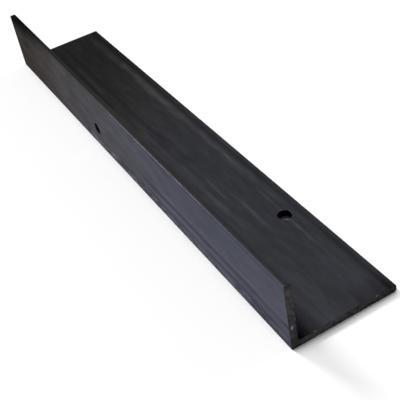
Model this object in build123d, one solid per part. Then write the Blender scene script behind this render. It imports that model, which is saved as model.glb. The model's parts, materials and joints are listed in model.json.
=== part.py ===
from build123d import *
import os

# Expansion angle profile: one length of unequal-legged steel angle, sawn square at both ends, with a single
# fixing hole drilled through each leg. It lies on its wide leg, the flange, and the narrow leg stands upright
# along the front edge. Millimetres: X runs along the length, Y across the flange and Z up, and the origin is
# the middle of the underside. Hole places are measured from the datum end, which is the end at +X.

# Overall sizes
LENGTH = 350.0
FLANGE_WIDTH = 60.0
UPRIGHT_HEIGHT = 40.0
FLANGE_THICKNESS = 4.0
UPRIGHT_THICKNESS = 4.0

# Edges of the section: a nearly sharp heel, a tight root, toes rounded on their inner side, and the toe of
# the flange eased underneath as well
HEEL_RADIUS = 0.4
ROOT_RADIUS = 0.8
TOE_INNER_RADIUS = 1.0
UPRIGHT_TOE_OUTER_RADIUS = 0.5
FLANGE_TOE_OUTER_RADIUS = 1.5

# Fixing hole in the flange
FLANGE_HOLE_DIAMETER = 8.0
FLANGE_HOLE_FROM_END = 76.0
FLANGE_HOLE_FROM_TOE = 12.0

# Fixing hole in the upright
UPRIGHT_HOLE_DIAMETER = 8.0
UPRIGHT_HOLE_FROM_END = 210.0
UPRIGHT_HOLE_HEIGHT = 13.5

# Planes that the section and the holes are placed from
datum_end_x = LENGTH / 2
heel_y = -FLANGE_WIDTH / 2
toe_y = FLANGE_WIDTH / 2
upright_inner_y = heel_y + UPRIGHT_THICKNESS


def angle_section():
    """The L outline in the YZ plane, walked from the heel along the underside and back over the inside."""
    corners = {
        (heel_y, 0): HEEL_RADIUS,
        (toe_y, 0): FLANGE_TOE_OUTER_RADIUS,
        (toe_y, FLANGE_THICKNESS): TOE_INNER_RADIUS,
        (upright_inner_y, FLANGE_THICKNESS): ROOT_RADIUS,
        (upright_inner_y, UPRIGHT_HEIGHT): TOE_INNER_RADIUS,
        (heel_y, UPRIGHT_HEIGHT): UPRIGHT_TOE_OUTER_RADIUS,
    }
    with BuildSketch(Plane.YZ) as section:
        with BuildLine():
            FilletPolyline(*corners.keys(), radius=list(corners.values()), close=True)
        make_face()
    return section.sketch


def angle_profile():
    """The section drawn out to both sides of the middle, then drilled through each leg."""
    flange_hole = Plane(
        origin=(datum_end_x - FLANGE_HOLE_FROM_END, toe_y - FLANGE_HOLE_FROM_TOE, FLANGE_THICKNESS),
        z_dir=(0, 0, 1),
    )
    upright_hole = Plane(
        origin=(datum_end_x - UPRIGHT_HOLE_FROM_END, heel_y, UPRIGHT_HOLE_HEIGHT),
        z_dir=(0, -1, 0),
    )
    with BuildPart() as profile:
        extrude(angle_section(), amount=LENGTH / 2, both=True)
        with Locations(flange_hole):
            Hole(FLANGE_HOLE_DIAMETER / 2)
        with Locations(upright_hole):
            Hole(UPRIGHT_HOLE_DIAMETER / 2)
    return profile.part


os.makedirs("parts", exist_ok=True)
export_step(angle_profile(), "parts/angle_profile.step")
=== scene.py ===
import json
import math
import random

import bpy
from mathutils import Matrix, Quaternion, Vector, geometry, noise


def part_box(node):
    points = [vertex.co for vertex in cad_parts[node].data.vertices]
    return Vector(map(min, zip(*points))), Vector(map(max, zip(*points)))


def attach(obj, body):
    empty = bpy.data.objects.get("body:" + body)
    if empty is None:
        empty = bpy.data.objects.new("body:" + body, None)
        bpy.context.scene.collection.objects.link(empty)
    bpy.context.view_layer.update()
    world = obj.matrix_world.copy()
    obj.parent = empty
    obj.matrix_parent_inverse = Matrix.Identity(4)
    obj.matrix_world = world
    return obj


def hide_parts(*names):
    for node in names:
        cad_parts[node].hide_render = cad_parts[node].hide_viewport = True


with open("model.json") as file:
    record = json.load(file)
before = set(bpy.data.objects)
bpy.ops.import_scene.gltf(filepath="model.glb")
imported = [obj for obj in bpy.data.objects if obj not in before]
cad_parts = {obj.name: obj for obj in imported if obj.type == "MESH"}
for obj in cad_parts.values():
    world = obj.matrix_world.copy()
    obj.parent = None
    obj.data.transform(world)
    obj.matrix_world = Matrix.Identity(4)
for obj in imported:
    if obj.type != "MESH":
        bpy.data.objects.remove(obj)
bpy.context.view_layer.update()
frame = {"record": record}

# Sizes of the profile, in metres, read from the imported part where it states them
MM = 0.001
NODE = "angle_profile"
PIECE = "angle_profile_steel"
mounts = {mount["name"]: mount for mount in frame["record"]["mounts"]}
box_low, box_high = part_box(NODE)
far_x, near_x = box_low.x, box_high.x
heel_y, toe_y = box_low.y, box_high.y
under_z, top_z = box_low.z, box_high.z
flange_z = mounts["flange_seat"]["pos_m"][2]
inner_y = mounts["upright_seat"]["pos_m"][1]
flange_hole = Vector(mounts["flange_hole"]["pos_m"])
flange_hole_radius = mounts["flange_hole"]["dims"]["r_mm"] * MM
upright_hole = Vector(mounts["upright_hole"]["pos_m"])
upright_hole_radius = mounts["upright_hole"]["dims"]["r_mm"] * MM

# Edges of the section, as the part has them
HEEL_RADIUS = 0.4 * MM
ROOT_RADIUS = 0.8 * MM
TOE_INNER_RADIUS = 1.0 * MM
UPRIGHT_TOE_OUTER_RADIUS = 0.5 * MM
FLANGE_TOE_OUTER_RADIUS = 1.5 * MM
ARC_STEPS = 6

# Fineness of the mesh
PITCH_ALONG = 1.25 * MM
PITCH_ACROSS = 1.25 * MM
LATTICE_MARGIN_SHARE = 1 / 3
HOLE_PATCH = 7.5 * MM
PATCH_RINGS = 5
WALL_RINGS = 6
END_PITCH = 0.8 * MM
JOIN_TOLERANCE = 1e-7
SHARP_ANGLE = math.radians(40)

# Small breaks of the sawn and drilled edges
END_BREAK = 0.15 * MM
HOLE_BREAK = 0.2 * MM
HOLE_BREAK_STEPS = 3

# Unevenness of the real surface, always inwards
WAVE_DEPTH = 0.06 * MM
WAVE_LENGTH = 45 * MM
WAVE_WIDTH = 14 * MM
DING_COUNT = 14
DING_DEPTH = 0.12 * MM
DING_LENGTH = 3.5 * MM
DING_SHARES = (0.35, 1.0)
DING_SHARPNESS = 0.9
END_RECESS = 0.1 * MM
END_RECESS_SHARE = 0.6
END_WAVE = 4 * MM
SEED = 11

# View of the photograph
CAMERA_PLACE = Vector((0.40406, -0.15406, 0.29996))
CAMERA_TARGET = Vector((0.05298, -0.00873, 0.0))
CAMERA_ROLL = math.radians(11.67)
CAMERA_LENS = 77.542
CAMERA_SENSOR = 36.0

# Studio: the floor has painted shade in a crevice and is white in the open, by how much of the air above it
# is free
FLOOR_HALF = 20.0
FLOOR_COLOUR = (0.95, 0.95, 0.95)
FLOOR_WHITENING = 0.8
CREVICE_REACH = 60 * MM
CREVICE_SHADE = 0.2
CREVICE_AIR = (0.3, 0.55)
OPEN_AIR = (0.5, 0.95)
KEY_FROM = Vector((-0.95, -0.25, 0.85))
KEY_SOFTNESS = math.radians(12)
KEY_STRENGTH = 4.35
FILL_FROM = Vector((0.0, 0.9, 0.65))
FILL_SOFTNESS = math.radians(25)
FILL_STRENGTH = 0.6
SKY_LEVEL = 0.08
HORIZON_LEVEL = 1.0
HORIZON_FADE = (0.12, 0.35)

# Finishes, as linear colours
SCALE_DARK = (0.038, 0.039, 0.047, 1)
SCALE_PALE = (0.064, 0.065, 0.078, 1)
SCALE_GREEN = (0.048, 0.052, 0.054, 1)
# The two colours below make the painted warm tint of light towards the far end
SCALE_WARM = (0.062, 0.048, 0.035, 1)
SCALE_OLIVE = (0.054, 0.049, 0.037, 1)
# Bare steel, for wear and for painted highlights and glints
BARE_STEEL_AND_GLINT = (0.20, 0.20, 0.21, 1)
EDGE_TINT = (0.50, 0.52, 0.68, 1)
SAWN_DARK = (0.024, 0.024, 0.024, 1)
SAWN_PALE = (0.075, 0.074, 0.075, 1)
# Pale spots of the sawn ends, also painted glints along their edges
SAWN_FLECK_AND_GLINT = (0.42, 0.42, 0.41, 1)
# The drilled walls are painted very dark: painted shade inside the holes
DRILLED_DARK = (0.008, 0.008, 0.009, 1)
DRILLED_PALE = (0.024, 0.024, 0.026, 1)

# Cloudy patterns: length and width in millimetres, detail, and the values that come out as 0 and as 1
GREEN_CLOUDS = (35, 12, 2, 0.3, 0.7)
# Clouds of the painted warm tint of light
WARM_CLOUDS = (28, 12, 3, 0.3, 0.7)
GRAIN_CLOUDS = (0.7, 0.7, 2, 0.3, 0.7)
WANDER_CLOUDS = (38, 30, 2, 0.0, 1.0)
FLANGE_CLOUDS = (15, 3.5, 3, 0.2, 0.8)
BROKEN_CLOUDS = (22, 2.5, 3, 0.15, 0.55)
MOTTLE_CLOUDS = (20, 7, 4, 0.25, 0.75)
SCUFF_CLOUDS = (8, 1.7, 4, 0.42, 0.62)
# Clouds that break up the bare arris, which is wear and painted highlight
ARRIS_CLOUDS = (9, 4, 3, 0.3, 0.7)
SAWN_GRAIN = (9, 0.55, 2, 0.3, 0.7)
SAWN_PATCHES = (3, 3, 4, 0.3, 0.7)
DRILLED_PITS = (0.8, 0.8, 2, 0.3, 0.7)

# Scattered spots: length and width of a cell, the share of cells that hold a spot, and its size in cells
SCALE_NICKS = (9 * MM, 3 * MM, 0.04, 0.14)
# The spots on the sawn edges below are painted glints
RIM_GLINTS = (4 * MM, 4 * MM, 0.2, 0.3)
FACE_FLECKS = (2.6 * MM, 2.6 * MM, 0.1, 0.22)
SPECK_FADE = 0.02

# Tone of the mill scale: the patterns that it is summed from, each with its share
TONE_PARTS = [
    ((120, 4.5, 2, 0.2, 0.8), 0.30),
    ((60, 1.3, 1, 0.3, 0.7), 0.06),
    ((50, 24, 2, 0.2, 0.8), 0.34),
    ((13, 4, 1, 0.1, 0.9), 0.30),
]

# Streaks on top of the flange: place across, half width, first and last place in millimetres, and strength
STREAK_FADE = 25
STREAK_FADE_SHARE = 0.3
FLANGE_STREAKS = [
    (22.0, 4.2, -205, 95, 0.25),
    (22.0, 4.2, -165, -20, 0.80),
    (22.4, 1.4, -10, 100, 0.3),
    (18.4, 1.3, 62, 138, 0.90),
    (6.0, 1.6, 45, 112, 0.40),
    (1.6, 0.8, 38, 72, 0.45),
    (-3.2, 2.8, 15, 105, 0.40),
    (-4.2, 1.8, -138, -78, 0.45),
    (-4.4, 1.5, -52, 12, 0.25),
    (0.0, 2.4, -180, 10, -0.25),
    (-8.0, 3.5, -205, -50, -0.30),
    # The next two rows darken the band along the toe, where its rounding turns from the light: painted shade
    (26.2, 2.2, -205, 205, -0.28),
    (27.0, 5.5, 110, 230, -0.20),
    # The last two rows darken the root against the upright, where its shadow falls: painted shadow
    (-26.0, 7.0, -230, 230, -0.45),
    (-25.0, 4.5, 130, 230, -0.55),
]
FLANGE_WANDER = 2.0 * MM
FLANGE_UNEVENNESS = 0.3

# Marks along the outer face of the upright, in the same way, with their height as the place across
OUTER_MARKS = [
    (14.2, 2.5, 10, 230, -0.45),
    (7.4, 1.3, -5, 200, -0.40),
    (17.8, 1.2, 34, 200, 0.30),
    (10.6, 1.6, 34, 165, 0.45),
    (38.2, 0.9, 5, 230, -0.35),
    (9.6, 1.3, -52, -37, 0.40),
    (18.0, 2.0, -32, -20, 0.35),
]
OUTER_WANDER = 2.4 * MM
MOTTLE_NEAR_AND_FAR = (0.3, 0.45)

# Masks of the faces: how far from a face its mask begins and is whole
MASK_EDGE = 1.5 * MM
MASK_WHOLE = 0.5 * MM
TOP_HEIGHTS = (top_z - 0.8 * MM, top_z - 0.3 * MM)
INNER_HEIGHTS = (flange_z + 1 * MM, flange_z + 4 * MM)

# Where the zones of the mill scale begin and are whole: places along the length, heights, or places across
FAR_PLACES = (60 * MM, far_x - 10 * MM)
FARTHEST_PLACES = (-75 * MM, far_x)
NEAR_PLACES = (60 * MM, near_x)
# The painted warm tint of light grows from here to the far end
WARM_LIGHT_PLACES = (130 * MM, far_x)
TIP_PLACES = (-100 * MM, far_x + 3 * MM)
TIP_HEIGHTS = (top_z - 13 * MM, top_z)
FAR_TOP_PLACES = (20 * MM, -60 * MM)
FARTHEST_TOP_PLACES = (-80 * MM, -150 * MM)
UPPER_EDGE_HEIGHTS = (top_z - 2 * MM, top_z - 1 * MM)
LIP_ACROSS = (inner_y - 2.2 * MM, inner_y - 0.8 * MM)
LOW_HEIGHTS = (18 * MM, 10 * MM)
# Darker on the flange towards the toe, near the near end
NEAR_END_DARK_PLACES = (near_x - 18 * MM, near_x)
NEAR_END_DARK_ACROSS = (-5 * MM, toe_y - 15 * MM)
SCUFF_PLACES = (-100 * MM, -20 * MM)
SCUFF_HEIGHTS = (8 * MM, 4 * MM)
SCUFF_DULLNESS = 0.35
# Where the bare arris, wear and painted highlight, begins and ends along the length
ARRIS_FIRST_PLACES = (-90 * MM, 50 * MM)
ARRIS_LAST_PLACES = (140 * MM, 75 * MM)

# How much lighter or darker than plain the scale is in each zone
ZONE_SHADES = {
    "marks": 0.6,
    "scuffs": 0.3,
    # Painted light and shade by face: the inner and outer faces lighter and the top darker, for how light
    # falls on them
    "inner": 0.5,
    "outer": 0.15,
    "top": -0.06,
    # Painted light and shade along the length: lighter towards the near end, darker towards the far end
    "near_outer": 0.3,
    "near_flange": 0.2,
    "farthest_outer": -0.4,
    "far_top": -0.25,
    "farthest_top": -0.15,
    # Painted shade on the inner edges and on the upright's inner top edge, damping the highlight their
    # roundings catch
    "inner_edge": -0.5,
    "lip": -0.27,
    "low_near": -0.15,
    # Darker on the flange towards the toe, near the near end
    "grime": -0.38,
}
LEAST_SHADE = 0.1
# How dark the far flange is, with painted shade towards the far end, and how dark the upright's far tip is
FAR_FLANGE_SHADE = 0.42
TIP_SHADE = 0.2

# How much rougher or smoother than plain the scale is in each zone
ZONE_ROUGHNESS = {
    "marks": -0.32,
    "scuffs": -0.5,
    "outer": 0.10,
    "far_outer": 0.34,
    "farthest_outer": 0.22,
    "farthest_top": -0.08,
    "outer_tip": 0.3,
    "outer_edge": 0.3,
    "near_outer_edge": 0.3,
    "inner_edge": 0.45,
    "low_near": 0.08,
}
PLAIN_ROUGHNESS = 0.25
TONE_ROUGHNESS = 0.05
MOST_ROUGHNESS = 0.95

# How much higher the scale stands in each zone, and what its tone and its grain add
ZONE_RELIEF = {
    "marks": 0.5,
    "scuffs": 0.7,
}
TONE_RELIEF = 0.5
GRAIN_RELIEF = 0.12
SCALE_RELIEF = 0.02 * MM
SCALE_RELIEF_STRENGTH = 0.5

# How far the scale is green, warm with painted light, bare along the arris as wear and painted highlight, or
# nicked
GREEN_SHARE = 0.4
FLANGE_WARM_LIGHT = 0.75
EDGE_WARM_LIGHT_LOSS = 0.8
ARRIS_BARENESS_AND_HIGHLIGHT = 0.4
SCALE_NICK_BARENESS = 0.25

# Sawn ends, with painted shade on the upright's end: first and last place in millimetres, across the section
# or up it, and how light it is at each
SAWN_ACROSS = [
    (-27, -21, 0.52, 1.15),
    (-15, 25, 1.0, 0.6),
    (22, 29, 1.0, 0.4),
]
SAWN_UP = (4, 10, 1.0, 1.5)
SAWN_GRAIN_SHARE = 0.25
SAWN_EDGE_SHADE = 0.6
SAWN_ROUGHNESS = (0.65, 0.5)
SAWN_RELIEF = 0.05 * MM
SAWN_RELIEF_STRENGTH = 0.6

# Pale spots of the sawn ends: one nick in the near end, by its place and half size, flecks, and painted
# glints along the edge
END_NICK = (-28.5 * MM, 13.8 * MM)
END_NICK_HALF = (0.9 * MM, 1.7 * MM)
END_NICK_PALENESS = 0.6
FLECK_AND_GLINT_PALENESS = 0.5
FLECK_HEIGHTS = (32 * MM, 22 * MM)

# Drilled holes: painted glints of bare steel at the sides of the flange hole's upper rim, and the wall
RIM_HEIGHTS = (flange_z - 2 * MM, flange_z - 1 * MM)
RIM_SIDE_SHARE = 0.9
RIM_SIDES = (RIM_SIDE_SHARE * flange_hole_radius, flange_hole_radius)
RIM_GLINT_PALENESS = 0.8
DRILLED_ROUGHNESS = (0.6, 0.75)
DRILLED_RELIEF = 0.02 * MM
DRILLED_RELIEF_STRENGTH = 0.5

# Places of the finishes on the piece, and of the colour sockets on a mixing node
ROLLED, SAWN, DRILLED = range(3)
MIX_SHARE, MIX_FIRST, MIX_SECOND = 0, 6, 7
MIX_RESULT = 2


class Outline:
    """The L of the section as a closed walk: each point's place, outward direction, run and sharpness."""

    def __init__(self):
        self.places = []
        self.normals = []
        self.runs = []
        self.edges = []

    def add(self, place, normal, run=None, edge=0.0):
        self.places.append(Vector(place))
        self.normals.append(Vector(normal))
        self.runs.append(run)
        self.edges.append(edge)


def lattice(first, last, anchor, pitch):
    """Values from first to last, without either, that are whole pitches from the anchor."""
    low, high = min(first, last), max(first, last)
    margin = pitch * LATTICE_MARGIN_SHARE
    start = math.ceil((low + margin - anchor) / pitch)
    stop = math.floor((high - margin - anchor) / pitch)
    values = [anchor + step * pitch for step in range(start, stop + 1)]
    return values if first < last else values[::-1]


def section_outline():
    """Walks the section from the heel along the underside and back over the inside, as the part is drawn."""
    corners = [
        ((heel_y, under_z), HEEL_RADIUS, "underside"),
        ((toe_y, under_z), FLANGE_TOE_OUTER_RADIUS, "toe"),
        ((toe_y, flange_z), TOE_INNER_RADIUS, "flange_top"),
        ((inner_y, flange_z), ROOT_RADIUS, "inner"),
        ((inner_y, top_z), TOE_INNER_RADIUS, "top"),
        ((heel_y, top_z), UPRIGHT_TOE_OUTER_RADIUS, "outer"),
    ]
    outline = Outline()
    count = len(corners)
    for index, (place, radius, run) in enumerate(corners):
        corner = Vector(place)
        before = Vector(corners[index - 1][0])
        after = Vector(corners[(index + 1) % count][0])
        way_in = (corner - before).normalized()
        way_out = (after - corner).normalized()
        add_corner(outline, corner, way_in, way_out, radius)
        next_radius = corners[(index + 1) % count][1]
        add_run(outline, corner + way_out * radius, after - way_out * next_radius, way_out, run)
    return outline


def add_corner(outline, corner, way_in, way_out, radius):
    """The arc of one corner, from its first tangent point to its last."""
    turn = way_in.x * way_out.y - way_in.y * way_out.x
    centre = corner - way_in * radius + way_out * radius
    for step in range(ARC_STEPS + 1):
        angle = math.pi / 2 * step / ARC_STEPS
        out = way_in * math.sin(angle) - way_out * math.cos(angle)
        normal = out if turn > 0 else -out
        sharp = math.sin(2 * angle) if turn > 0 else 0.0
        outline.add(centre + out * radius, normal, edge=sharp)


def add_run(outline, start, end, way, run):
    """The points inside one straight run, on the lattice of the hole that the leg carries."""
    normal = Vector((way.y, -way.x))
    if abs(way.x) > abs(way.y):
        values = lattice(start.x, end.x, flange_hole.y, PITCH_ACROSS)
        places = [(value, start.y) for value in values]
    else:
        values = lattice(start.y, end.y, upright_hole.z, PITCH_ACROSS)
        places = [(start.x, value) for value in values]
    for place in places:
        outline.add(place, normal, run=run)


def stations():
    """Places along the length, on a lattice through both holes, with the edge breaks at the ends."""
    apart = flange_hole.x - upright_hole.x
    pitch = apart / round(apart / PITCH_ALONG)
    first, last = far_x + END_BREAK, near_x - END_BREAK
    return [first, *lattice(first, last, flange_hole.x, pitch), last]


class Builder:
    """Collects the points and faces of the profile's one mesh."""

    def __init__(self):
        self.points = []
        self.edges = []
        self.faces = []
        self.finishes = []

    def point(self, place, edge=0.0):
        self.points.append(Vector(place))
        self.edges.append(edge)
        return len(self.points) - 1

    def face(self, corners, finish):
        self.faces.append(tuple(corners))
        self.finishes.append(finish)

    def strip(self, ring, next_ring, finish):
        """Joins two closed rings of as many points."""
        count = len(ring)
        for k in range(count):
            m = (k + 1) % count
            self.face((ring[k], next_ring[k], next_ring[m], ring[m]), finish)

    def mesh(self, name):
        data = bpy.data.meshes.new(name)
        data.from_pydata([tuple(p) for p in self.points], [], self.faces)
        data.polygons.foreach_set("material_index", self.finishes)
        wear = data.attributes.new("edge_wear", "FLOAT", "POINT")
        wear.data.foreach_set("value", self.edges)
        data.update()
        return data


def make_dings(outline):
    """Small knocks on the outer edges, each with its place, depth and length."""
    draw = random.Random(SEED)
    edge_points = [k for k, edge in enumerate(outline.edges) if edge > DING_SHARPNESS]
    dings = []
    for _ in range(DING_COUNT):
        x = draw.uniform(far_x, near_x)
        place = outline.places[draw.choice(edge_points)]
        size = draw.uniform(*DING_SHARES)
        dings.append((Vector((x, place.x, place.y)), DING_DEPTH * size, DING_LENGTH * size))
    return dings


def inwards(place, dings):
    """How far the real surface lies inside the drawn one at a place."""
    wave = noise.noise(Vector((place.x / WAVE_LENGTH, place.y / WAVE_WIDTH, place.z / WAVE_WIDTH)))
    depth = WAVE_DEPTH * (1 + wave) / 2
    for centre, ding_depth, ding_length in dings:
        gap = (place - centre).length
        if gap < ding_length:
            depth += ding_depth * (1 + math.cos(math.pi * gap / ding_length)) / 2
    return depth


def add_sides(build, outline, along, patches, dings):
    """The rolled faces: the outline repeated at every station, but for the squares that the holes fill."""
    count = len(outline.places)
    grid = []
    for x in along:
        near_dings = [ding for ding in dings if abs(ding[0].x - x) < DING_LENGTH]
        row = []
        for k in range(count):
            place = Vector((x, outline.places[k].x, outline.places[k].y))
            normal = Vector((0, outline.normals[k].x, outline.normals[k].y))
            place -= normal * inwards(place, near_dings)
            row.append(build.point(place, outline.edges[k]))
        grid.append(row)
    for i in range(len(along) - 1):
        for k in range(count):
            m = (k + 1) % count
            if any(patch(i, k, m) for patch in patches):
                continue
            build.face((grid[i][k], grid[i][m], grid[i + 1][m], grid[i + 1][k]), ROLLED)
    return grid


def patch_finder(outline, along, run, centre_x, centre_v, axis, half):
    """Says which grid squares lie in the square patch that a hole fills on one run."""

    def inside(i, k, m):
        if outline.runs[k] != run or outline.runs[m] != run:
            return False
        in_x = abs((along[i] + along[i + 1]) / 2 - centre_x) < half
        middle = (outline.places[k][axis] + outline.places[m][axis]) / 2
        return in_x and abs(middle - centre_v) < half

    return inside


def patch_border(outline, along, grid, run, centre_x, centre_v, axis, half):
    """The grid points round a hole's square patch on one run, by their angle about the hole."""
    tolerance = PITCH_ACROSS / 10
    border = []
    for i, x in enumerate(along):
        for k, name in enumerate(outline.runs):
            u, v = x - centre_x, outline.places[k][axis] - centre_v
            on_border = abs(max(abs(u), abs(v)) - half) < tolerance
            if name == run and on_border:
                border.append((math.atan2(v, u), grid[i][k]))
    return [point for _, point in sorted(border)]


def add_hole(build, lower, upper, centre, radius, axis):
    """One drilled hole: rings from the square on the lower face in to the rim, up the wall and out again."""
    rim = radius + HOLE_BREAK

    def ring(border, share, reach, sink, edge=0.0):
        """Points at a share of the way from a reach about the axis out to the border, sunk below it."""
        made = []
        for point in border:
            out = build.points[point] - centre
            height = out.dot(axis)
            flat = out - axis * height
            distance = reach + (flat.length - reach) * share
            depth = height - math.copysign(sink, height)
            made.append(build.point(centre + flat.normalized() * distance + axis * depth, edge))
        return made

    def funnel(border):
        """The rings of one face, from its square in to the rim and down to the wall."""
        rings = [border]
        for step in range(1, PATCH_RINGS + 1):
            rings.append(ring(border, 1 - step / PATCH_RINGS, rim, 0))
        for step in range(1, HOLE_BREAK_STEPS + 1):
            turn = math.pi / 2 * step / HOLE_BREAK_STEPS
            reach = rim - HOLE_BREAK * math.sin(turn)
            rings.append(ring(border, 0, reach, HOLE_BREAK * (1 - math.cos(turn)), math.sin(2 * turn)))
        return rings

    below, above = funnel(lower), funnel(upper)
    pairs = [(build.points[a], build.points[b]) for a, b in zip(below[-1], above[-1])]
    wall = []
    for step in range(1, WALL_RINGS):
        wall.append([build.point(a.lerp(b, step / WALL_RINGS)) for a, b in pairs])
    rings = below + wall + above[::-1]
    for step in range(len(rings) - 1):
        on_face = step < PATCH_RINGS or step >= len(rings) - 1 - PATCH_RINGS
        build.strip(rings[step], rings[step + 1], ROLLED if on_face else DRILLED)


def end_points():
    """Points inside the section, a pitch apart and clear of its outline."""
    margin = END_PITCH / 2
    points = []
    for a in range(1, int((toe_y - heel_y) / END_PITCH)):
        for b in range(1, int((top_z - under_z) / END_PITCH)):
            y, z = heel_y + a * END_PITCH, under_z + b * END_PITCH
            in_flange = y < toe_y - FLANGE_TOE_OUTER_RADIUS and z < flange_z - margin
            in_upright = y < inner_y - margin and z < top_z - TOE_INNER_RADIUS
            if in_flange or in_upright:
                points.append(Vector((y, z)))
    return points


def end_depth(place, x):
    """How far a sawn end is hollow at a place inside its edge."""
    rough = noise.noise(Vector((place.x / END_WAVE, place.y / END_WAVE, x)))
    return END_RECESS * (END_RECESS_SHARE + (1 - END_RECESS_SHARE) * rough)


def add_end(build, outline, rim, x, facing):
    """One sawn end: a broken edge, then a face a little hollow and uneven behind it."""
    count = len(outline.places)
    inset = [place - normal * END_BREAK for place, normal in zip(outline.places, outline.normals)]
    loop = [(k, (k + 1) % count) for k in range(count)]
    filled = geometry.delaunay_2d_cdt(inset + end_points(), loop, [], 1, JOIN_TOLERANCE)
    places, _, faces, origins, _, _ = filled
    points = []
    ring = [None] * count
    for place, sources in zip(places, origins):
        rim_sources = [source for source in sources if source < count]
        depth = 0 if rim_sources else end_depth(place, x)
        points.append(build.point((x - facing * depth, place.x, place.y), 1.0 if rim_sources else 0.0))
        for source in rim_sources:
            ring[source] = points[-1]
    for face in faces:
        corners = [points[n] for n in face]
        build.face(corners if facing > 0 else corners[::-1], SAWN)
    if facing > 0:
        build.strip(ring, rim, SAWN)
    else:
        build.strip(rim, ring, SAWN)


def profile_mesh():
    """The whole profile as one closed mesh: rolled sides, sawn ends and drilled holes."""
    outline = section_outline()
    along = stations()
    half = round(HOLE_PATCH / PITCH_ACROSS) * PITCH_ACROSS
    flange = (flange_hole.x, flange_hole.y, 0, half)
    upright = (upright_hole.x, upright_hole.z, 1, half)
    spots = [("underside", flange), ("flange_top", flange), ("inner", upright), ("outer", upright)]
    patches = [patch_finder(outline, along, run, *spot) for run, spot in spots]
    build = Builder()
    grid = add_sides(build, outline, along, patches, make_dings(outline))
    borders = [patch_border(outline, along, grid, run, *spot) for run, spot in spots]
    add_hole(build, borders[0], borders[1], flange_hole, flange_hole_radius, Vector((0, 0, 1)))
    add_hole(build, borders[2], borders[3], upright_hole, upright_hole_radius, Vector((0, -1, 0)))
    add_end(build, outline, grid[-1], near_x, 1)
    add_end(build, outline, grid[0], far_x, -1)
    return build.mesh(PIECE)


class Graph:
    """A node tree written as sums. A number may stand wherever a node's output may."""

    def __init__(self, tree, place="Object"):
        self.tree = tree
        self.place = self.node("ShaderNodeTexCoord").outputs[place]
        self.x, self.y, self.z = self.node("ShaderNodeSeparateXYZ", Vector=self.place).outputs

    def node(self, kind, settings=None, **inputs):
        made = self.tree.nodes.new(kind)
        for name, value in (settings or {}).items():
            setattr(made, name, value)
        for name, value in inputs.items():
            self.feed(made.inputs[name.replace("_", " ")], value)
        return made

    def feed(self, socket, value):
        if isinstance(value, bpy.types.NodeSocket):
            self.tree.links.new(value, socket)
        else:
            socket.default_value = value

    def math(self, operation, *values):
        made = self.node("ShaderNodeMath", {"operation": operation})
        for socket, value in zip(made.inputs, values):
            self.feed(socket, value)
        return made.outputs[0]

    def chain(self, operation, values):
        """Works the values together one after the other."""
        total = values[0]
        for value in values[1:]:
            total = self.math(operation, total, value)
        return total

    def add(self, *values):
        return self.chain("ADD", values)

    def times(self, *values):
        return self.chain("MULTIPLY", values)

    def most(self, *values):
        return self.chain("MAXIMUM", values)

    def ramp(self, value, start, end, low=0.0, high=1.0, kind="SMOOTHSTEP"):
        """Goes from low to high, smoothly if not told otherwise, as the value goes from start to end."""
        made = self.node("ShaderNodeMapRange", {"interpolation_type": kind}, Value=value)
        made.inputs["From Min"].default_value = start
        made.inputs["From Max"].default_value = end
        made.inputs["To Min"].default_value = low
        made.inputs["To Max"].default_value = high
        return made.outputs["Result"]

    def band(self, value, centre, half_width):
        """1 at the centre, falling smoothly to 0 at half a width to either side."""
        gap = self.math("ABSOLUTE", self.math("SUBTRACT", value, centre))
        return self.ramp(gap, half_width, 0.0)

    def stretched(self, length, width):
        """The place on the piece counted in lengths along X and in widths along Y and Z."""
        made = self.node("ShaderNodeVectorMath", {"operation": "MULTIPLY"})
        self.feed(made.inputs[0], self.place)
        made.inputs[1].default_value = (1 / length, 1 / width, 1 / width)
        return made.outputs[0]

    def clouds(self, length, width, detail, low, high):
        """Cloudy values from 0 to 1, with length and width in millimetres."""
        place = self.stretched(length * MM, width * MM)
        made = self.node("ShaderNodeTexNoise", Vector=place, Scale=1.0, Detail=detail)
        return self.ramp(made.outputs[0], low, high)

    def swing(self, *pattern):
        """Cloudy values from half below 0 to half above it."""
        return self.add(self.clouds(*pattern), -0.5)

    def specks(self, length, width, share, size):
        """Scattered spots: a share of the cells of a random pattern, each with a spot of that size in it."""
        made = self.node("ShaderNodeTexVoronoi", Vector=self.stretched(length, width), Scale=1.0)
        spot = self.ramp(made.outputs["Distance"], size, size / 2)
        chosen = self.node("ShaderNodeSeparateColor", Color=made.outputs["Color"]).outputs[0]
        return self.times(spot, self.ramp(chosen, 1 - share, 1 - share + SPECK_FADE))

    def blend(self, share, first, second):
        made = self.node("ShaderNodeMix", {"data_type": "RGBA"})
        self.feed(made.inputs[MIX_SHARE], share)
        self.feed(made.inputs[MIX_FIRST], first)
        self.feed(made.inputs[MIX_SECOND], second)
        return made.outputs[MIX_RESULT]

    def shaded(self, colour, factor):
        made = self.node("ShaderNodeVectorMath", {"operation": "SCALE"})
        self.feed(made.inputs[0], colour)
        self.feed(made.inputs["Scale"], factor)
        return made.outputs[0]

    def bump(self, height, distance, strength):
        return self.node("ShaderNodeBump", Height=height, Distance=distance, Strength=strength).outputs[0]

    def edge_wear(self):
        """How sharp the edge is at a place, from 0 on a face to 1 on an edge."""
        return self.node("ShaderNodeAttribute", {"attribute_name": "edge_wear"}).outputs["Fac"]


class Finish(Graph):
    """One procedural material with its surface shader."""

    def __init__(self, name):
        self.material = bpy.data.materials.new(name)
        self.material.use_nodes = True
        super().__init__(self.material.node_tree)
        self.surface = self.tree.nodes["Principled BSDF"]

    def set(self, **inputs):
        for name, value in inputs.items():
            self.feed(self.surface.inputs[name.replace("_", " ")], value)


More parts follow.
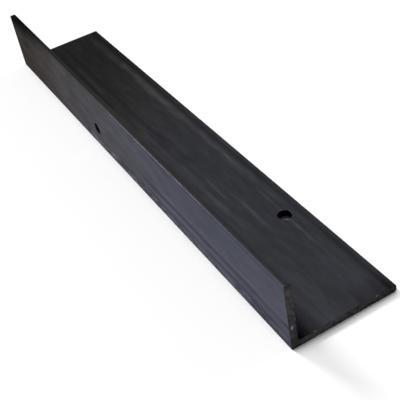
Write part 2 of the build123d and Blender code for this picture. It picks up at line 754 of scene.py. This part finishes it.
def streaks(fin, across, wander, rows):
    """The sum of a table of soft streaks along the length, each fading in and out over a share of it."""
    total = 0.0
    for centre, half_width, first, last, strength in rows:
        fade = min(STREAK_FADE_SHARE * (last - first), STREAK_FADE)
        line = fin.band(fin.add(across, wander), centre * MM, half_width * MM)
        start = fin.ramp(fin.x, first * MM, (first + fade) * MM)
        stop = fin.ramp(fin.x, last * MM, (last - fade) * MM)
        total = fin.add(total, fin.times(line, start, stop, strength))
    return total


def face_masks(fin):
    """Where the rolled surface is the outer face, the flange's top, the upright's top or the inner face."""
    outer = fin.ramp(fin.y, heel_y + MASK_EDGE, heel_y + MASK_WHOLE)
    over = fin.ramp(fin.z, flange_z - MASK_EDGE, flange_z - MASK_WHOLE)
    under = fin.ramp(fin.z, flange_z + MASK_EDGE, flange_z + MASK_WHOLE)
    flange = fin.times(over, under, fin.math("SUBTRACT", 1.0, outer))
    top = fin.ramp(fin.z, *TOP_HEIGHTS)
    inside = fin.ramp(fin.y, inner_y - MASK_EDGE, inner_y - MASK_WHOLE)
    inner = fin.times(inside, fin.ramp(fin.z, *INNER_HEIGHTS))
    return outer, flange, top, inner


def scale_tone(fin):
    """The plain cloudiness of the scale, from 0 dark to 1 pale."""
    return fin.add(*(fin.times(fin.clouds(*pattern), share) for pattern, share in TONE_PARTS))


def wandering(fin, reach):
    """A slow drift to either side, so that no streak runs dead straight."""
    return fin.times(fin.swing(*WANDER_CLOUDS), reach)


def flange_pattern(fin, flange):
    """How much paler than plain the scale is on top of the flange."""
    uneven = fin.swing(*FLANGE_CLOUDS)
    lines = streaks(fin, fin.y, wandering(fin, FLANGE_WANDER), FLANGE_STREAKS)
    lines = fin.times(lines, fin.add(uneven, 1.0))
    return fin.times(flange, fin.add(lines, fin.times(uneven, FLANGE_UNEVENNESS)))


def outer_marks(fin, outer, far):
    """Broken lines and mottling on the outer face: above 0 paler and smoother, below 0 darker and duller."""
    lines = streaks(fin, fin.z, wandering(fin, OUTER_WANDER), OUTER_MARKS)
    lines = fin.times(fin.clouds(*BROKEN_CLOUDS), lines)
    mottle = fin.times(fin.swing(*MOTTLE_CLOUDS), fin.ramp(far, 0, 1, *MOTTLE_NEAR_AND_FAR))
    return fin.times(outer, fin.add(lines, mottle))


def low_scuffs(fin, outer):
    """Where the outer face is rubbed near the floor: above 0 rubbed smooth, below 0 dull."""
    band = fin.times(fin.ramp(fin.z, *SCUFF_HEIGHTS), fin.ramp(fin.x, *SCUFF_PLACES))
    rubbed = fin.add(fin.clouds(*SCUFF_CLOUDS), -SCUFF_DULLNESS)
    return fin.times(outer, band, rubbed)


def scale_zones(fin):
    """How strong each zone of the mill scale is at a place, by its name."""
    outer, flange, top, inner = face_masks(fin)
    upright = fin.most(outer, top)
    outer_edge = fin.times(fin.edge_wear(), outer)
    far = fin.ramp(fin.x, *FAR_PLACES)
    near = fin.ramp(fin.x, *NEAR_PLACES)
    tip = fin.times(upright, fin.ramp(fin.z, *TIP_HEIGHTS), fin.ramp(fin.x, *TIP_PLACES))
    return {
        "outer": outer,
        "flange": flange,
        "top": top,
        "inner": inner,
        "upright": upright,
        "near_outer": fin.times(near, outer),
        "near_flange": fin.times(near, flange),
        "far_outer": fin.times(far, outer),
        "far_flange": fin.times(far, flange),
        "farthest_outer": fin.times(fin.ramp(fin.x, *FARTHEST_PLACES), outer),
        "far_top": fin.times(top, fin.ramp(fin.x, *FAR_TOP_PLACES)),
        "farthest_top": fin.times(top, fin.ramp(fin.x, *FARTHEST_TOP_PLACES)),
        "tip": tip,
        "outer_tip": fin.times(tip, outer),
        "outer_edge": outer_edge,
        "near_outer_edge": fin.times(near, outer_edge),
        # inner_edge and lip carry painted shade that damps the highlights of the inner roundings
        "inner_edge": fin.math("SUBTRACT", fin.edge_wear(), outer_edge),
        "lip": fin.times(fin.ramp(fin.z, *UPPER_EDGE_HEIGHTS), fin.ramp(fin.y, *LIP_ACROSS)),
        "low_near": fin.times(near, outer, fin.ramp(fin.z, *LOW_HEIGHTS)),
        "grime": fin.times(flange, fin.ramp(fin.x, *NEAR_END_DARK_PLACES), fin.ramp(fin.y, *NEAR_END_DARK_ACROSS)),
        "marks": outer_marks(fin, outer, far),
        "scuffs": low_scuffs(fin, outer),
    }


def zone_sum(fin, zones, looks):
    """The sum of the zones that a table names, each as strong as the table says."""
    return fin.add(*(fin.times(zones[name], strength) for name, strength in looks.items()))


def scale_warm_light(fin, zones):
    """How strong the painted warm tint of light is: along most of the upright, and on the flange towards the
    far end.
    """
    upright = fin.add(zones["upright"], fin.times(zones["outer_edge"], -EDGE_WARM_LIGHT_LOSS))
    upright = fin.times(upright, fin.ramp(fin.x, *WARM_LIGHT_PLACES, kind="LINEAR"))
    return fin.add(upright, fin.times(zones["far_flange"], FLANGE_WARM_LIGHT))


def scale_shade(fin, zones):
    """How light the scale is against its plain colour, with painted light and shade by face and along the
    length.
    """
    shade = fin.add(1.0, flange_pattern(fin, zones["flange"]), zone_sum(fin, zones, ZONE_SHADES))
    far_flange = fin.ramp(zones["far_flange"], 0, 1, 1.0, FAR_FLANGE_SHADE)
    tip = fin.ramp(zones["tip"], 0, 1, 1.0, TIP_SHADE)
    return fin.times(fin.most(shade, LEAST_SHADE), far_flange, tip)


def scale_colour(fin, zones, tone):
    """Blue-grey with green clouds and a painted warm tint of light, made lighter or darker zone by zone by
    its marks and by painted light and shade, bare in a few nicks, and bare along the arris as wear and
    painted highlight.
    """
    colour = fin.blend(tone, SCALE_DARK, SCALE_PALE)
    colour = fin.blend(fin.times(fin.clouds(*GREEN_CLOUDS), GREEN_SHARE), colour, SCALE_GREEN)
    # Painted warm light: the scale turns browner towards the far end
    warm = fin.blend(fin.times(fin.clouds(*WARM_CLOUDS), zones["upright"]), SCALE_OLIVE, SCALE_WARM)
    colour = fin.blend(scale_warm_light(fin, zones), colour, warm)
    colour = fin.shaded(colour, scale_shade(fin, zones))
    return fin.blend(arris_wear_and_highlight(fin, zones["outer"]), colour, BARE_STEEL_AND_GLINT)


def arris_wear_and_highlight(fin, outer):
    """Where the scale is bare: along the upper arris of the outer face, as wear and as a painted highlight,
    and in a few nicks.
    """
    along = fin.times(fin.ramp(fin.x, *ARRIS_FIRST_PLACES), fin.ramp(fin.x, *ARRIS_LAST_PLACES))
    upper = fin.ramp(fin.z, *UPPER_EDGE_HEIGHTS)
    rubbed = fin.clouds(*ARRIS_CLOUDS)
    # The bare arris is wear, and also a painted highlight
    arris = fin.times(fin.edge_wear(), upper, outer, along, rubbed, ARRIS_BARENESS_AND_HIGHLIGHT)
    nicks = fin.times(fin.specks(*SCALE_NICKS), SCALE_NICK_BARENESS)
    return fin.most(arris, nicks)


def rolled_scale():
    """Mill scale: blue-grey oxide in soft streaks, duller towards the far end, where painted shade and a
    painted warm tint of light make it darker and browner.
    """
    fin = Finish("rolled_scale")
    zones = scale_zones(fin)
    tone = scale_tone(fin)
    rough = fin.add(PLAIN_ROUGHNESS, fin.times(tone, TONE_ROUGHNESS), zone_sum(fin, zones, ZONE_ROUGHNESS))
    grain = fin.times(fin.clouds(*GRAIN_CLOUDS), GRAIN_RELIEF)
    relief = fin.add(fin.times(tone, TONE_RELIEF), grain, zone_sum(fin, zones, ZONE_RELIEF))
    fin.set(Base_Color=scale_colour(fin, zones, tone))
    fin.set(Roughness=fin.math("MINIMUM", rough, MOST_ROUGHNESS))
    fin.set(Metallic=0.55, IOR=1.1, Specular_Tint=EDGE_TINT)
    fin.set(Normal=fin.bump(relief, SCALE_RELIEF, SCALE_RELIEF_STRENGTH))
    return fin.material


def sawn_shade(fin):
    """How light a sawn end is against its plain colour. Painted shade makes the upright's end darker than
    the flange's, most of all low down near the floor; the flange's end is darker towards the toe, and each
    end along its edge.
    """
    across = [fin.ramp(fin.y, a * MM, b * MM, low, high) for a, b, low, high in SAWN_ACROSS]
    first, last, low, high = SAWN_UP
    up = fin.ramp(fin.z, first * MM, last * MM, low, high)
    edge = fin.ramp(fin.edge_wear(), 0, 1, 1.0, SAWN_EDGE_SHADE)
    return fin.times(*across, up, edge)


def sawn_spots(fin):
    """How pale a sawn end is in spots: one nick in the near end, flecks on the face, and painted glints
    along its edge.
    """
    across = fin.band(fin.y, END_NICK[0], END_NICK_HALF[0])
    up = fin.band(fin.z, END_NICK[1], END_NICK_HALF[1])
    nick = fin.times(across, up, fin.ramp(fin.x, 0, near_x), END_NICK_PALENESS)
    # Painted glints along the sawn edge
    rim = fin.times(fin.edge_wear(), fin.specks(*RIM_GLINTS))
    flecks = fin.times(fin.most(rim, fin.specks(*FACE_FLECKS)), FLECK_AND_GLINT_PALENESS)
    flecks = fin.times(flecks, fin.ramp(fin.z, *FLECK_HEIGHTS))
    return fin.most(nick, flecks)


def sawn_steel():
    """Sawn end: dull grainy steel, darker in places with painted shade, with a few pale spots and painted
    glints.
    """
    fin = Finish("sawn_steel")
    grain = fin.clouds(*SAWN_GRAIN)
    patches = fin.clouds(*SAWN_PATCHES)
    tone = fin.add(fin.times(grain, SAWN_GRAIN_SHARE), fin.times(patches, 1 - SAWN_GRAIN_SHARE))
    colour = fin.shaded(fin.blend(tone, SAWN_DARK, SAWN_PALE), sawn_shade(fin))
    fin.set(Base_Color=fin.blend(sawn_spots(fin), colour, SAWN_FLECK_AND_GLINT))
    fin.set(Roughness=fin.ramp(tone, 0, 1, *SAWN_ROUGHNESS))
    fin.set(Metallic=0.5, IOR=1.15)
    fin.set(Normal=fin.bump(fin.add(grain, patches), SAWN_RELIEF, SAWN_RELIEF_STRENGTH))
    return fin.material


def drilled_steel():
    """Wall of a drilled hole: finely pitted and painted very dark for the shade inside it, with painted
    glints of bare steel at the sides of the flange hole's upper rim.
    """
    fin = Finish("drilled_steel")
    pits = fin.clouds(*DRILLED_PITS)
    colour = fin.blend(pits, DRILLED_DARK, DRILLED_PALE)
    aside = fin.math("ABSOLUTE", fin.math("SUBTRACT", fin.y, flange_hole.y))
    upper = fin.ramp(fin.z, *RIM_HEIGHTS)
    # Painted glints: bare steel at the sides of the flange hole's upper rim
    bare = fin.times(fin.edge_wear(), upper, fin.ramp(aside, *RIM_SIDES), RIM_GLINT_PALENESS)
    fin.set(Base_Color=fin.blend(bare, colour, BARE_STEEL_AND_GLINT))
    fin.set(Roughness=fin.ramp(pits, 0, 1, *DRILLED_ROUGHNESS))
    fin.set(Metallic=0.6, IOR=1.1, Specular_Tint=EDGE_TINT)
    fin.set(Normal=fin.bump(pits, DRILLED_RELIEF, DRILLED_RELIEF_STRENGTH))
    return fin.material


def add_profile():
    """The profile in steel, in the place of the plain one."""
    piece = bpy.data.objects.new(PIECE, profile_mesh())
    bpy.context.scene.collection.objects.link(piece)
    for finish in (rolled_scale, sawn_steel, drilled_steel):
        piece.data.materials.append(finish())
    piece.data.shade_smooth()
    piece.data.set_sharp_from_angle(angle=SHARP_ANGLE)
    even = piece.modifiers.new("even_normals", "WEIGHTED_NORMAL")
    even.keep_sharp = True
    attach(piece, "root")
    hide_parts(NODE)


def floor_paper():
    """White paper that keeps the shadow, with painted shade in crevices. Out in the open it looks whiter
    than its light makes it.
    """
    fin = Finish("floor_paper")
    air = fin.node("ShaderNodeAmbientOcclusion", Distance=CREVICE_REACH).outputs["AO"]
    # Painted shade: the paper is darker where little of the air above it is free
    fin.set(Base_Color=fin.shaded(FLOOR_COLOUR, fin.ramp(air, *CREVICE_AIR, CREVICE_SHADE, 1.0)))
    fin.set(Roughness=1.0, Specular_IOR_Level=0.0)
    path = fin.node("ShaderNodeLightPath").outputs
    seen = fin.most(path["Is Camera Ray"], path["Is Glossy Ray"], path["Is Transmission Ray"])
    share = fin.times(seen, fin.ramp(air, *OPEN_AIR, 0.0, FLOOR_WHITENING))
    white = fin.node("ShaderNodeEmission").outputs[0]
    mixed = fin.node("ShaderNodeMixShader", Fac=share)
    fin.feed(mixed.inputs[1], fin.surface.outputs[0])
    fin.feed(mixed.inputs[2], white)
    fin.feed(fin.tree.nodes["Material Output"].inputs["Surface"], mixed.outputs[0])
    return fin.material


def add_floor():
    """One wide square of paper under the profile."""
    data = bpy.data.meshes.new("floor")
    corners = [(-1, -1), (1, -1), (1, 1), (-1, 1)]
    points = [(a * FLOOR_HALF, b * FLOOR_HALF, under_z) for a, b in corners]
    data.from_pydata(points, [], [(0, 1, 2, 3)])
    data.materials.append(floor_paper())
    floor = bpy.data.objects.new("floor", data)
    bpy.context.scene.collection.objects.link(floor)


def add_lamp(name, came_from, softness, strength):
    """One soft lamp far away."""
    data = bpy.data.lights.new(name, "SUN")
    data.energy = strength
    data.angle = softness
    lamp = bpy.data.objects.new(name, data)
    lamp.rotation_euler = (-came_from).to_track_quat("-Z", "Y").to_euler()
    bpy.context.scene.collection.objects.link(lamp)


def add_lamps():
    """The key, high behind the far end, and a weaker fill on the side of the flange's toe."""
    add_lamp("key", KEY_FROM, KEY_SOFTNESS, KEY_STRENGTH)
    add_lamp("fill", FILL_FROM, FILL_SOFTNESS, FILL_STRENGTH)


def add_world():
    """A dim room over a white horizon, which is what a low view sees behind the floor."""
    world = bpy.data.worlds.new("studio")
    world.use_nodes = True
    graph = Graph(world.node_tree, "Generated")
    level = graph.ramp(graph.z, *HORIZON_FADE, HORIZON_LEVEL, SKY_LEVEL)
    background = graph.tree.nodes["Background"]
    graph.feed(background.inputs["Strength"], level)
    graph.feed(background.inputs["Color"], (1, 1, 1, 1))
    bpy.context.scene.world = world


def add_camera():
    """The camera at the photograph's place, rolled as the photograph is."""
    data = bpy.data.cameras.new("camera")
    data.sensor_width = CAMERA_SENSOR
    data.lens = CAMERA_LENS
    camera = bpy.data.objects.new("camera", data)
    level = (CAMERA_TARGET - CAMERA_PLACE).to_track_quat("-Z", "Y")
    camera.location = CAMERA_PLACE
    camera.rotation_euler = (level @ Quaternion((0, 0, 1), -CAMERA_ROLL)).to_euler()
    bpy.context.scene.collection.objects.link(camera)
    bpy.context.scene.camera = camera


add_profile()
add_floor()
add_lamps()
add_world()
add_camera()
bpy.context.scene.view_settings.view_transform = "Standard"
